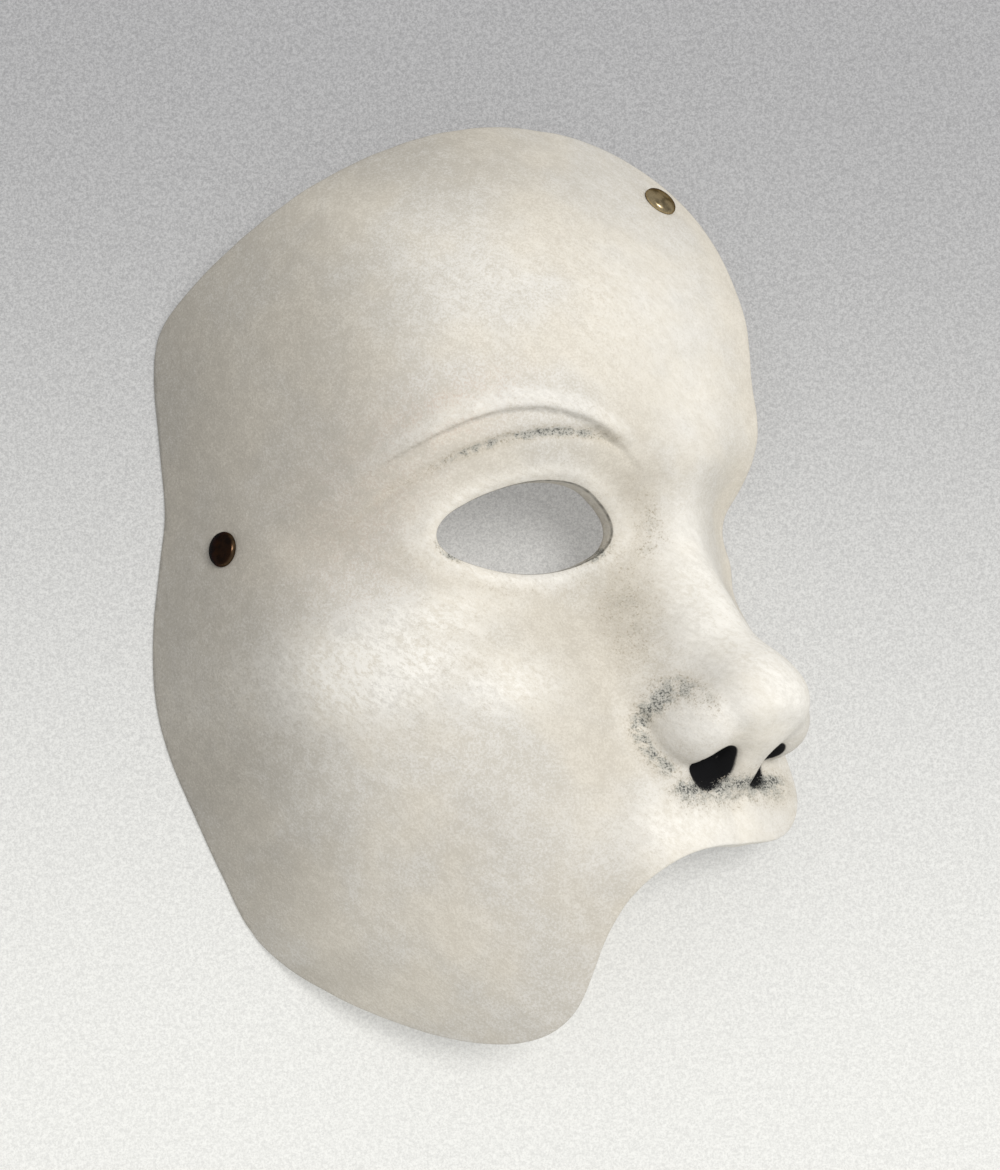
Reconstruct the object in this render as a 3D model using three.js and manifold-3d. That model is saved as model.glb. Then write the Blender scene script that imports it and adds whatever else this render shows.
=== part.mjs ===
// One-sided theatre mask, lying as it is put down: one moulded shell and two strap rivets.
// Millimetres. +Z is up, +Y runs from the jaw to the forehead, +X towards the free side of the face.
// The origin is on the table, under the middle of the object's box.

import * as THREE from 'three';
import { mergeVertices } from 'three/addons/utils/BufferGeometryUtils.js';
import Module from 'manifold-3d';

// Lying pose. The face frame has x across the face, y up it and z out of it, from the nose root.
const LIE_ANGLE = THREE.MathUtils.degToRad(38.5);
const FAR_EDGE = 20;
const REST_DEPTH = -9.1;
const BOX_MIDDLE = [-56.5, -6.4];

// Wall of the shell. Below FLAT_RIM_HEIGHT it turns level, so that the rim stands flat on the table,
// and within EYE_WALL_REACH of the eye opening it turns straight back, as it is cut.
const THICKNESS = 3;
const FLAT_RIM_HEIGHT = 9;
const EYE_WALL_REACH = 6;

// Mesh sizes: wide steps on the cheek and forehead, closer ones by the eye, closest under the nose
const BROAD_STEP = 7;
const FINE_X = [
  { from: -50, to: 20, step: 4.4 },
  { from: -22, to: 6, step: 2.4 },
];
const FINE_Y = [
  { from: -62, to: 30, step: 4.4 },
  { from: -54, to: -36, step: 2.2 },
];
const FINE_Z = [{ from: -9, to: 52, step: 5 }];
const STEP_BLEND = 25;
const GRID_LOW = [-128, -118, -9];
const GRID_HIGH = [22, 100, 52];

// Sections of the head by height: height, depth of the midline, half width
const SECTIONS = [
  [-130, -46, 20],
  [-118, -22, 33],
  [-105, -6, 46],
  [-90, -1, 58],
  [-75, 4, 66],
  [-62, 7.5, 70],
  [-51, 5.5, 72.5],
  [-38, 0, 75],
  [-24, -4, 76.5],
  [-10, -5, 76.5],
  [3, -2.5, 75],
  [14, 3.5, 73.5],
  [28, 4.5, 73.5],
  [45, 3.5, 73.5],
  [62, -2, 71],
  [78, -12, 65.5],
  [92, -26, 57],
  [110, -56, 40],
];
const BACK_OF_HEAD = -95;
const SQUARENESS = 2.45;
const HEAD_SCALE = 86;

// Eye opening: an almond between two arcs
const EYE = { x: 33, y: -0.5, halfWidth: 21, upper: 10, lower: 8, cornerRadius: 9.5 };

// Broad rises and hollows of each side: centre, radii, turn in degrees, rise
const SIDE_FORMS = [
  { name: 'inner eye corner', at: [15.5, 2], size: [7, 9], turn: 0, rise: -2.2 },
  { name: 'brow bone', at: [27, 19], size: [20, 8], turn: 8, rise: 2.4 },
  { name: 'cheekbone', at: [53, -23], size: [20, 14], turn: -20, rise: 4.2 },
  { name: 'front of cheek', at: [33, -33], size: [14, 11], turn: 0, rise: 2.4 },
  { name: 'fold under the eye', at: [22, -15], size: [9, 4.5], turn: -35, rise: -1.6 },
  { name: 'hollow of cheek', at: [54, -62], size: [17, 20], turn: 15, rise: -2.6 },
  { name: 'fold beside the mouth', at: [27, -52], size: [4.5, 14], turn: 18, rise: -1.6 },
  { name: 'forehead', at: [24, 44], size: [18, 14], turn: 0, rise: 1.2 },
];

// Rises and hollows on the midline
const MIDDLE_FORMS = [
  { name: 'groove of the upper lip', at: [0, -58], size: [3, 6.5], turn: 0, rise: -1 },
  { name: 'upper lip', at: [0, -70.5], size: [22, 4.6], turn: 0, rise: 2 },
  { name: 'between the brows', at: [0, 12], size: [9, 8], turn: 0, rise: 1 },
];
const ORBIT = { at: [31, 1.5], size: [22, 16], depth: 7, power: 1.2 };
const LID_BAND = { rise: 3.6, width: 7.5 };
const BROW = { from: 12, length: 50, height: 11, arch: 14, droop: 6.5, rise: 2, edge: 3.6, fade: 6.5 };

// Ridge of the nose by height: height, depth, radius across
const RIDGE = [
  [-60, 34, 9],
  [-37, 22.5, 8.5],
  [-30, 18.5, 7.5],
  [-17, 9.5, 6],
  [-6, 3, 5.5],
  [3, -0.5, 6.5],
  [14, 1.5, 9],
  [26, 2, 12],
];
const RIDGE_SLOPE = 1.45;
const RIDGE_BOTTOM = -39;
const RIDGE_TOP = 16;
const RIDGE_HALF_WIDTH = 26;
const NOSE_TIP = { at: [0, -37, 13.8], size: [10.2, 9.3, 10.2] };
const TIP_CORNER = { at: [4.6, -38, 14.5], size: [6.6, 7.6, 8.2] };
const NOSE_CORE = { at: [0, -40, 3], size: [11, 8.5, 12] };
const NOSE_WING = { at: [11, -41.8, 6], size: [6.6, 7.6, 11.2] };
const COLUMN = { from: [0, -44, 15.5], to: [0, -51.5, 6], radii: [3.6, 4.6] };
const NOSTRIL_HOLE = { at: [6.9, -49, 8.5], size: [2.5, 4.6, 5] };
const NOSTRIL_TOP = -44;

// Outline of the mask: planes that slope back with the depth, joined by fillets
const HAIRLINE = { y: 90, z: -24, slope: 0.62 };
const JAW_LINE = { y: -112, z: -30, slope: 0.72 };
const MOUTH_CORNER = { x: -29, y: -66, fillet: 26 };
const TOP_FILLET = 44;
const JAW_FILLET = 34;
const LIP_FILLET = 12;

// Rivets: domed cap outside, shank through a clearance hole, flat clinched flange inside
const CAP_RADIUS = 3.7;
const CAP_HEIGHT = 1.5;
const SHANK_RADIUS = 1.4;
const HOLE_RADIUS = 1.8;
const FLANGE_RADIUS = 3.2;
const FLANGE_HEIGHT = 0.9;
const RIVET_GAP = 0.35;
const ROUND_SEGMENTS = 20;
const DOME_STEPS = 5;
const TEMPLE_RIVET = [-75, 4, -62];
const FOREHEAD_RIVET = [8, 71, -7];

// Smooth steps, minima and maxima

function smoothMin(a, b, width) {
  const near = Math.max(width - Math.abs(a - b), 0) / width;
  return Math.min(a, b) - (near * near * width) / 4;
}

function smoothMax(a, b, width) {
  return -smoothMin(-a, -b, width);
}

function ease(t) {
  const s = THREE.MathUtils.clamp(t, 0, 1);
  return s * s * (3 - 2 * s);
}

// A smooth curve through one column of the rows, by the rows' first value
function curveThrough(rows, column, t) {
  const last = rows.length - 1;
  const slope = (i) => {
    const before = rows[Math.max(i - 1, 0)];
    const after = rows[Math.min(i + 1, last)];
    return (after[column] - before[column]) / (after[0] - before[0]);
  };
  let i = 0;
  while (i < last - 1 && t > rows[i + 1][0]) i += 1;
  const width = rows[i + 1][0] - rows[i][0];
  const s = THREE.MathUtils.clamp((t - rows[i][0]) / width, 0, 1);
  const start = (2 * s ** 3 - 3 * s ** 2 + 1) * rows[i][column] + (s ** 3 - 2 * s ** 2 + s) * width * slope(i);
  const end = (3 * s ** 2 - 2 * s ** 3) * rows[i + 1][column] + (s ** 3 - s ** 2) * width * slope(i + 1);
  return start + end;
}

// Between the face frame and the table frame

const TURN_COS = Math.cos(LIE_ANGLE);
const TURN_SIN = Math.sin(LIE_ANGLE);
const OUT_OF_FACE = [TURN_SIN, 0, TURN_COS];

function toFace([x, y, z]) {
  return [x * TURN_COS - z * TURN_SIN + FAR_EDGE, y, x * TURN_SIN + z * TURN_COS + REST_DEPTH];
}

function toTable([x, y, z]) {
  const across = x - FAR_EDGE;
  const out = z - REST_DEPTH;
  return [across * TURN_COS + out * TURN_SIN, y, out * TURN_COS - across * TURN_SIN];
}

// The face as a field: negative inside the head, positive outside

function bump(x, y, { at, size, turn, rise }) {
  const angle = THREE.MathUtils.degToRad(turn);
  const u = ((x - at[0]) * Math.cos(angle) + (y - at[1]) * Math.sin(angle)) / size[0];
  const v = ((y - at[1]) * Math.cos(angle) - (x - at[0]) * Math.sin(angle)) / size[1];
  return rise * Math.exp(-(u * u + v * v));
}

// Distance outside the eye opening in front view, at x from the midline
function eyeDistance(x, y) {
  const insideArc = (height, sign) => {
    const radius = (EYE.halfWidth ** 2 + height ** 2) / (2 * height);
    return radius - Math.hypot(x - EYE.x, y - EYE.y - sign * (height - radius));
  };
  return -smoothMin(insideArc(EYE.upper, 1), insideArc(EYE.lower, -1), EYE.cornerRadius);
}

function sideRise(x, y) {
  const across = ((x - ORBIT.at[0]) / ORBIT.size[0]) ** 2;
  const up = ((y - ORBIT.at[1]) / ORBIT.size[1]) ** 2;
  const orbit = -ORBIT.depth * Math.exp(-((across + up) ** ORBIT.power));
  const lid = LID_BAND.rise * Math.exp(-((Math.max(eyeDistance(x, y), 0) / LID_BAND.width) ** 2));
  return SIDE_FORMS.reduce((sum, form) => sum + bump(x, y, form), orbit + lid);
}

// The brow: a ledge with a clear lower edge that fades out upwards
function browRise(x, y) {
  const along = (x - BROW.from) / BROW.length;
  const arch = BROW.arch * Math.sin(Math.PI * 0.82 * THREE.MathUtils.clamp(along, -0.2, 1.15));
  const line = BROW.height + arch - BROW.droop * Math.max(along, 0) ** 3;
  const above = y - line;
  const ends = ease((x - 9) / 12) * (1 - ease((x - 50) / 18));
  return ends * BROW.rise * ease(above / BROW.edge + 0.5) * Math.exp(-Math.max(above, 0) / BROW.fade);
}

function headField([x, y, z], withBrow) {
  const depth = curveThrough(SECTIONS, 1, y);
  const halfWidth = curveThrough(SECTIONS, 2, y);
  const run = Math.max((z - BACK_OF_HEAD) / (depth - BACK_OF_HEAD), 0);
  const ring = ((Math.abs(x) / halfWidth) ** SQUARENESS + run ** SQUARENESS) ** (1 / SQUARENESS);
  const middle = MIDDLE_FORMS.reduce((sum, form) => sum + bump(x, y, form), 0);
  const brow = withBrow ? browRise(-x, y) : 0;
  return (ring - 1) * HEAD_SCALE - middle - sideRise(x, y) - sideRise(-x, y) - brow;
}

function ellipsoidField([x, y, z], { at, size }) {
  const offset = [x - at[0], y - at[1], z - at[2]];
  const near = Math.hypot(...offset.map((d, k) => d / size[k]));
  const steep = Math.hypot(...offset.map((d, k) => d / size[k] ** 2));
  return (near * (near - 1)) / Math.max(steep, 1e-9);
}

function columnField(point) {
  const [start, end] = [new THREE.Vector3(...COLUMN.from), new THREE.Vector3(...COLUMN.to)];
  const here = new THREE.Vector3(...point);
  const axis = end.clone().sub(start);
  const t = THREE.MathUtils.clamp(here.clone().sub(start).dot(axis) / axis.lengthSq(), 0, 1);
  const radius = THREE.MathUtils.lerp(COLUMN.radii[0], COLUMN.radii[1], t);
  return here.distanceTo(start.addScaledVector(axis, t)) - radius;
}

function noseField([x, y, z]) {
  const point = [Math.abs(x), y, z];
  const crest = curveThrough(RIDGE, 1, y);
  const radius = curveThrough(RIDGE, 2, y);
  const fall = RIDGE_SLOPE * (Math.hypot(x, radius) - radius);
  let ridge = ((z - crest + fall) / Math.hypot(1, RIDGE_SLOPE)) * 1.25;
  ridge = smoothMax(ridge, RIDGE_BOTTOM - y, 6);
  ridge = smoothMax(ridge, y - RIDGE_TOP, 10);
  ridge = smoothMax(ridge, point[0] - RIDGE_HALF_WIDTH, 8);
  const tip = smoothMin(ellipsoidField(point, NOSE_TIP), ellipsoidField(point, TIP_CORNER), 3);
  const front = smoothMin(smoothMin(ridge, tip, 6), columnField(point), 4);
  const middle = Math.min(front, ellipsoidField(point, NOSE_CORE));
  return smoothMin(middle, ellipsoidField(point, NOSE_WING), 3.6);
}

function skinField(tablePoint, withBrow = true) {
  const point = toFace(tablePoint);
  const blend = 2.6 + 8 * ease((point[1] + 38) / 16);
  return smoothMin(headField(point, withBrow), noseField(point), blend);
}

function softField(tablePoint) {
  return skinField(tablePoint, false);
}

// The outline as a field: positive where the shell is cut away
function outlineField(tablePoint) {
  const [x, y, z] = toFace(tablePoint);
  const top = (y - HAIRLINE.y - HAIRLINE.slope * (z - HAIRLINE.z)) / Math.hypot(1, HAIRLINE.slope);
  const jaw = (JAW_LINE.y - y - JAW_LINE.slope * (z - JAW_LINE.z)) / Math.hypot(1, JAW_LINE.slope);
  const mouth = smoothMin(x - MOUTH_CORNER.x, MOUTH_CORNER.y - y, MOUTH_CORNER.fillet);
  const upper = smoothMax(x - FAR_EDGE, top, TOP_FILLET);
  const edge = smoothMax(upper, smoothMax(jaw, mouth, JAW_FILLET), LIP_FILLET);
  const eye = -eyeDistance(-x, y);
  const nostril = y < NOSTRIL_TOP ? -ellipsoidField([Math.abs(x), y, z], NOSTRIL_HOLE) : -1;
  return Math.max(edge, -tablePoint[2], eye, nostril);
}

// Points on a field's surface

const GRADIENT_STEP = 0.05;

function gradient(field, point) {
  return [0, 1, 2].map((axis) => {
    const [before, after] = [[...point], [...point]];
    before[axis] -= GRADIENT_STEP;
    after[axis] += GRADIENT_STEP;
    return (field(after) - field(before)) / (2 * GRADIENT_STEP);
  });
}

function dot(a, b) {
  return a[0] * b[0] + a[1] * b[1] + a[2] * b[2];
}

function along(point, direction, distance) {
  return point.map((value, axis) => value + direction[axis] * distance);
}

function unit(vector) {
  const length = Math.hypot(...vector);
  return vector.map((value) => value / length);
}

function settle(field, point, steps) {
  let here = point;
  for (let i = 0; i < steps; i += 1) {
    const slope = gradient(field, here);
    const move = -field(here) / Math.max(dot(slope, slope), 1e-9);
    here = along(here, slope, THREE.MathUtils.clamp(move, -1.5, 1.5));
  }
  return here;
}

// Grid lines that lie closer in the fine zones
function gridLines(low, high, zones) {
  const lines = [low];
  while (lines[lines.length - 1] < high) {
    const at = lines[lines.length - 1];
    const steps = zones.map(({ from, to, step }) => {
      const away = Math.min(Math.max(from - at, at - to, 0) / STEP_BLEND, 1);
      return THREE.MathUtils.lerp(step, BROAD_STEP, away);
    });
    lines.push(at + Math.min(...steps));
  }
  return lines;
}

// A net of quads over the surface of a field: one point in each grid cell that the surface crosses
function netOver(field, lines) {
  const [nx, ny, nz] = lines.map((list) => list.length);
  const node = ([i, j, k]) => (i * ny + j) * nz + k;
  const place = (at) => at.map((index, axis) => lines[axis][index]);
  const values = new Float64Array(nx * ny * nz);
  const cells = [];
  for (let i = 0; i < nx; i += 1) {
    for (let j = 0; j < ny; j += 1) {
      for (let k = 0; k < nz; k += 1) {
        values[node([i, j, k])] = field(place([i, j, k]));
        if (i > 0 && j > 0 && k > 0) cells.push([i - 1, j - 1, k - 1]);
      }
    }
  }
  const shifted = (at, axis, by = 1) => at.map((index, a) => (a === axis ? index + by : index));
  const points = [];
  const pointOf = new Map();
  for (const cell of cells) {
    const crossings = [];
    for (let axis = 0; axis < 3; axis += 1) {
      const [u, v] = [(axis + 1) % 3, (axis + 2) % 3];
      for (let corner = 0; corner < 4; corner += 1) {
        const from = shifted(shifted(cell, u, corner & 1), v, corner >> 1);
        const to = shifted(from, axis);
        const [a, b] = [values[node(from)], values[node(to)]];
        if (a < 0 === b < 0) continue;
        const [start, end] = [place(from), place(to)];
        crossings.push(start.map((value, i) => value + ((end[i] - value) * a) / (a - b)));
      }
    }
    if (crossings.length === 0) continue;
    const sum = crossings.reduce((total, point) => along(total, point, 1), [0, 0, 0]);
    pointOf.set(node(cell), points.length);
    points.push(sum.map((value) => value / crossings.length));
  }
  const quads = [];
  for (const cell of cells) {
    for (let axis = 0; axis < 3; axis += 1) {
      const [u, v] = [(axis + 1) % 3, (axis + 2) % 3];
      if (cell[u] === 0 || cell[v] === 0) continue;
      const inside = values[node(cell)] < 0;
      if (inside === values[node(shifted(cell, axis))] < 0) continue;
      const ring = [[-1, -1], [0, -1], [0, 0], [-1, 0]];
      const quad = ring.map(([du, dv]) => pointOf.get(node(shifted(shifted(cell, u, du), v, dv))));
      quads.push(inside ? quad : quad.reverse());
    }
  }
  return { points, quads };
}

function distance(a, b) {
  return Math.hypot(a[0] - b[0], a[1] - b[1], a[2] - b[2]);
}

function splitQuad([a, b, c, d], points) {
  if (distance(points[a], points[c]) < distance(points[b], points[d])) return [[a, b, c], [a, c, d]];
  return [[a, b, d], [b, c, d]];
}

function edgesOf(triangle) {
  return triangle.map((vertex, i) => [vertex, triangle[(i + 1) % 3]]);
}

// Drops the points that no triangle uses
function compact(points, triangles) {
  const renumbered = new Map();
  const kept = [];
  const number = (vertex) => {
    if (!renumbered.has(vertex)) {
      renumbered.set(vertex, kept.length);
      kept.push(points[vertex]);
    }
    return renumbered.get(vertex);
  };
  return { triangles: triangles.map((triangle) => triangle.map(number)), points: kept };
}

// Evens out the net, then puts each point back on the skin
function relax({ points, triangles }, rounds) {
  const neighbours = points.map(() => new Set());
  for (const triangle of triangles) {
    for (const [a, b] of edgesOf(triangle)) {
      neighbours[a].add(b);
      neighbours[b].add(a);
    }
  }
  let here = points;
  for (let round = 0; round < rounds; round += 1) {
    const before = here;
    here = before.map((point, vertex) => {
      const around = [...neighbours[vertex]];
      const sum = around.reduce((total, other) => along(total, before[other], 1), [0, 0, 0]);
      const mean = sum.map((value) => value / around.length);
      return settle(skinField, point.map((value, axis) => value + 0.6 * (mean[axis] - value)), 1);
    });
  }
  return { triangles, points: here.map((point) => settle(skinField, point, 2)) };
}

// Moves a point along the skin onto the outline
function toOutline(point) {
  let here = point;
  for (let i = 0; i < 4; i += 1) {
    const normal = unit(gradient(skinField, here));
    const slope = gradient(outlineField, here);
    const level = along(slope, normal, -dot(slope, normal));
    const move = -outlineField(here) / Math.max(dot(level, level), 1e-3);
    here = settle(skinField, along(here, level, move), 1);
  }
  return here;
}

// The point of an edge where the outline crosses it
function crossing(inner, outer) {
  const at = (t) => settle(skinField, along(inner, along(outer, inner, -1), t), 2);
  let [low, high] = [0, 1];
  for (let i = 0; i < 12; i += 1) {
    const middle = (low + high) / 2;
    if (outlineField(at(middle)) > 0) high = middle;
    else low = middle;
  }
  return at((low + high) / 2);
}

// Cuts the net along the outline. Points close to it are moved onto it first.
function trimNet({ points, triangles }) {
  const here = [...points];
  const size = points.map(() => Infinity);
  for (const triangle of triangles) {
    for (const [a, b] of edgesOf(triangle)) {
      const length = distance(points[a], points[b]);
      size[a] = Math.min(size[a], length);
      size[b] = Math.min(size[b], length);
    }
  }
  const side = points.map((point, vertex) => {
    if (Math.abs(outlineField(point)) > 0.6 * size[vertex]) return Math.sign(outlineField(point));
    const moved = toOutline(point);
    const reached = Math.abs(outlineField(moved)) < 0.03 && distance(moved, point) < 0.45 * size[vertex];
    if (reached) here[vertex] = moved;
    return reached ? 0 : Math.sign(outlineField(point));
  });
  const made = new Map();
  const cutEdge = (a, b) => {
    const key = `${Math.min(a, b)},${Math.max(a, b)}`;
    if (!made.has(key)) {
      made.set(key, here.length);
      here.push(side[a] < 0 ? crossing(here[a], here[b]) : crossing(here[b], here[a]));
    }
    return made.get(key);
  };
  const kept = [];
  for (const triangle of triangles) {
    const sides = triangle.map((vertex) => side[vertex]);
    const corners = triangle.map((vertex) => here[vertex]);
    const centre = [0, 1, 2].map((axis) => (corners[0][axis] + corners[1][axis] + corners[2][axis]) / 3);
    if (Math.max(...sides) <= 0) {
      if (Math.min(...sides) < 0 || outlineField(centre) < 0) kept.push(triangle);
      continue;
    }
    if (Math.min(...sides) >= 0) continue;
    const polygon = [];
    for (const [a, b] of edgesOf(triangle)) {
      if (side[a] <= 0) polygon.push(a);
      if (side[a] * side[b] < 0) polygon.push(cutEdge(a, b));
    }
    if (polygon.length === 3) kept.push(polygon);
    else kept.push(...splitQuad(polygon, here));
  }
  return compact(here, kept);
}

// From a point of the outer skin to its partner on the inner skin
function throughWall(point) {
  const normal = unit(gradient(softField, point));
  const [x, y] = toFace(point);
  const straight = Math.exp(-((Math.max(eyeDistance(-x, y), 0) / EYE_WALL_REACH) ** 2));
  const turned = normal.map((value, axis) => THREE.MathUtils.lerp(value, OUT_OF_FACE[axis], straight));
  const rise = turned[2] * ease(point[2] / FLAT_RIM_HEIGHT);
  const direction = unit([turned[0], turned[1], rise]);
  return along(point, direction, -THICKNESS / dot(direction, normal));
}

// Outer skin, inner skin and the rim between them, as one closed body
function shellGeometry() {
  const lines = [
    gridLines(GRID_LOW[0], GRID_HIGH[0], FINE_X),
    gridLines(GRID_LOW[1], GRID_HIGH[1], FINE_Y),
    gridLines(GRID_LOW[2], GRID_HIGH[2], FINE_Z),
  ];
  const net = netOver(skinField, lines);
  const split = net.quads.flatMap((quad) => splitQuad(quad, net.points));
  const reach = 3 * BROAD_STEP;
  const near = split.filter((triangle) => triangle.some((v) => outlineField(net.points[v]) < reach));
  const outer = trimNet(relax(compact(net.points, near), 4));
  const count = outer.points.length;
  const points = [...outer.points, ...outer.points.map(throughWall)];
  const inner = outer.triangles.map(([a, b, c]) => [c + count, b + count, a + count]);
  const paired = new Set(outer.triangles.flatMap(edgesOf).map(([a, b]) => `${a},${b}`));
  const rim = outer.triangles.flatMap(edgesOf).filter(([a, b]) => !paired.has(`${b},${a}`));
  const band = rim.flatMap(([a, b]) => [[b, a, a + count], [b, a + count, b + count]]);
  const geometry = new THREE.BufferGeometry();
  geometry.setAttribute('position', new THREE.Float32BufferAttribute(points.flat(), 3));
  geometry.setIndex([...outer.triangles, ...inner, ...band].flat());
  return geometry;
}

// Rivet, about its own axis: +Y points out of the skin, which lies at 0
function rivetGeometry() {
  const under = -THICKNESS - RIVET_GAP;
  const profile = [
    new THREE.Vector2(0, under - FLANGE_HEIGHT),
    new THREE.Vector2(FLANGE_RADIUS, under - FLANGE_HEIGHT),
    new THREE.Vector2(FLANGE_RADIUS, under),
    new THREE.Vector2(SHANK_RADIUS, under),
    new THREE.Vector2(SHANK_RADIUS, RIVET_GAP),
    new THREE.Vector2(CAP_RADIUS, RIVET_GAP),
  ];
  for (let i = 1; i < DOME_STEPS; i += 1) {
    const angle = (Math.PI / 2) * (i / DOME_STEPS);
    const height = RIVET_GAP + CAP_HEIGHT * Math.sin(angle);
    profile.push(new THREE.Vector2(CAP_RADIUS * Math.cos(angle), height));
  }
  profile.push(new THREE.Vector2(0, RIVET_GAP + CAP_HEIGHT));
  return new THREE.LatheGeometry(profile, ROUND_SEGMENTS);
}

// Where a rivet sits: its point on the skin and the turn of its axis, in the table frame
function rivetSeat(facePoint) {
  const point = settle(skinField, toTable(facePoint), 6);
  const normal = new THREE.Vector3(...unit(gradient(skinField, point)));
  const turn = new THREE.Quaternion().setFromUnitVectors(new THREE.Vector3(0, 1, 0), normal);
  return { point: new THREE.Vector3(...point), turn };
}

const wasm = await Module();
wasm.setup();

function toSolid(geometry) {
  const plain = geometry.clone();
  plain.deleteAttribute('normal');
  plain.deleteAttribute('uv');
  const merged = mergeVertices(plain);
  const vertProperties = new Float32Array(merged.attributes.position.array);
  const triVerts = new Uint32Array(merged.index.array);
  return new wasm.Manifold(new wasm.Mesh({ numProp: 3, vertProperties, triVerts }));
}

function toGeometry(solid) {
  const mesh = solid.getMesh();
  const geometry = new THREE.BufferGeometry();
  geometry.setAttribute('position', new THREE.BufferAttribute(mesh.vertProperties, 3));
  geometry.setIndex(new THREE.BufferAttribute(mesh.triVerts, 1));
  geometry.computeVertexNormals();
  return geometry;
}

// The shell with a clearance hole at each rivet
function drilled(geometry, seats) {
  let solid = toSolid(geometry);
  for (const seat of seats) {
    const drill = new THREE.CylinderGeometry(HOLE_RADIUS, HOLE_RADIUS, 4 * THICKNESS, ROUND_SEGMENTS);
    drill.applyQuaternion(seat.turn);
    drill.translate(seat.point.x, seat.point.y, seat.point.z);
    solid = solid.subtract(toSolid(drill));
  }
  return toGeometry(solid);
}

function addRivet(group, name, seat, colour) {
  const material = new THREE.MeshStandardMaterial({ color: colour, roughness: 0.35, metalness: 0.9 });
  const rivet = new THREE.Mesh(rivetGeometry(), material);
  rivet.name = name;
  rivet.position.copy(seat.point);
  rivet.quaternion.copy(seat.turn);
  group.add(rivet);
}

function buildMask() {
  const group = new THREE.Group();
  const temple = rivetSeat(TEMPLE_RIVET);
  const forehead = rivetSeat(FOREHEAD_RIVET);
  const paint = new THREE.MeshStandardMaterial({ color: '#d9d3c6', roughness: 0.78, metalness: 0 });
  const shell = new THREE.Mesh(drilled(shellGeometry(), [temple, forehead]), paint);
  shell.name = 'mask_shell';
  group.add(shell);
  addRivet(group, 'temple_rivet', temple, '#4b3424');
  addRivet(group, 'forehead_rivet', forehead, '#86714f');
  group.position.set(-BOX_MIDDLE[0], -BOX_MIDDLE[1], 0);
  group.updateMatrixWorld(true);
  return group;
}

export default buildMask();
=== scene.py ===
import math

import bpy
import numpy as np
from mathutils import Matrix, Vector


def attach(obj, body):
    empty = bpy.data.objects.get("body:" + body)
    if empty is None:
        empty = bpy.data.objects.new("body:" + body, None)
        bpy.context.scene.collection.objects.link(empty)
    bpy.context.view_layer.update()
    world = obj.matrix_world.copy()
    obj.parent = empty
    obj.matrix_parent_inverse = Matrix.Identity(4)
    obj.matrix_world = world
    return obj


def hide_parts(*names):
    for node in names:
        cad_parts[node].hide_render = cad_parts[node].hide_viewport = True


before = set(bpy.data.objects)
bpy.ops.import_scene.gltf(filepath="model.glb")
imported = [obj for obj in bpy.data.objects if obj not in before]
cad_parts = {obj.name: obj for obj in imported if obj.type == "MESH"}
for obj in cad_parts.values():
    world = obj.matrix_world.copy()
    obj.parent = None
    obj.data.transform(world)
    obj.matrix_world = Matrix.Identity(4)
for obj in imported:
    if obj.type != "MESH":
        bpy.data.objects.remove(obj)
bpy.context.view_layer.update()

# Lying pose, in millimetres. The face frame has x across the face, y up it and z out of it.
LIE_ANGLE = math.radians(38.5)
FAR_EDGE = 20.0
REST_DEPTH = -9.1
BOX_MIDDLE = (-56.5, -6.4)

# A millimetre in metres, and the least divisor
MM = 0.001
TINY = 1e-9

# Wall of the shell and its rounded edge
THICKNESS = 3.0
FLAT_RIM_HEIGHT = 9.0
EYE_WALL_REACH = 6.0
WALL_STEPS = 8
EDGE_ROUND = 0.7
EDGE_STEPS = 9
EDGE_SQUARENESS = 4.0
CORNER_ROUND = 5.0

# Mesh sizes: around the eye and nose, and on the broad cheek and forehead
FINE_STEP = 0.7
BROAD_STEP = 1.6
FINE_X = (-56.0, 16.0)
FINE_Y = (-60.0, 30.0)
STEP_BLEND = 22.0
GRID_LOW = (-128.0, -118.0, -5.0)
GRID_HIGH = (22.0, 100.0, 50.0)
RELAX_ROUNDS = 5
RELAX_SHARE = 0.6

# Snapping to the outline: how near it a point lies and how far it may move, in lengths of its
# shortest edge, by how many millimetres it may end up off it, and the steps of each search
SNAP_FROM = 0.6
SNAP_LIMIT = 0.45
SNAP_ERROR = 0.02
SNAP_STEPS = 5
CUT_STEPS = 12

# Sections of the head by height: height, depth of the midline, half width
SECTIONS = (
    (-130, -46, 20),
    (-118, -22, 33),
    (-105, -6, 46),
    (-90, -1, 58),
    (-75, 4, 66),
    (-62, 7.5, 70),
    (-51, 5.5, 72.5),
    (-38, 0, 75),
    (-24, -4, 76.5),
    (-10, -5, 76.5),
    (3, -2.5, 75),
    (14, 3.5, 73.5),
    (28, 4.5, 73.5),
    (45, 3.5, 73.5),
    (62, -2, 71),
    (78, -12, 65.5),
    (92, -26, 57),
    (110, -56, 40),
)
BACK_OF_HEAD = -95.0
SQUARENESS = 2.45
HEAD_SCALE = 86.0

# Eye opening: an almond between two arcs, in the orbit's hollow and with swollen lids round it
EYE_X = 33.0
EYE_Y = -0.5
EYE_HALF = 21.0
EYE_UPPER = 10.0
EYE_LOWER = 8.0
EYE_CORNER = 9.5
ORBIT_X = 31.0
ORBIT_Y = 1.5
ORBIT_SIZE = (22.0, 16.0)
ORBIT_DEPTH = 7.0
ORBIT_POWER = 1.2
LID_RISE = 3.6
LID_WIDTH = 7.5

# Brow: its arched lower edge by distance from the midline, and the ledge over that edge
BROW_START = 12.0
BROW_LENGTH = 50.0
BROW_HEIGHT = 11.0
BROW_ARCH = 14.0
BROW_BEND = 0.82
BROW_DROOP = 6.5
BROW_RISE = 1.6
BROW_EDGE = 0.9
BROW_FADE = 5.6

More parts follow.
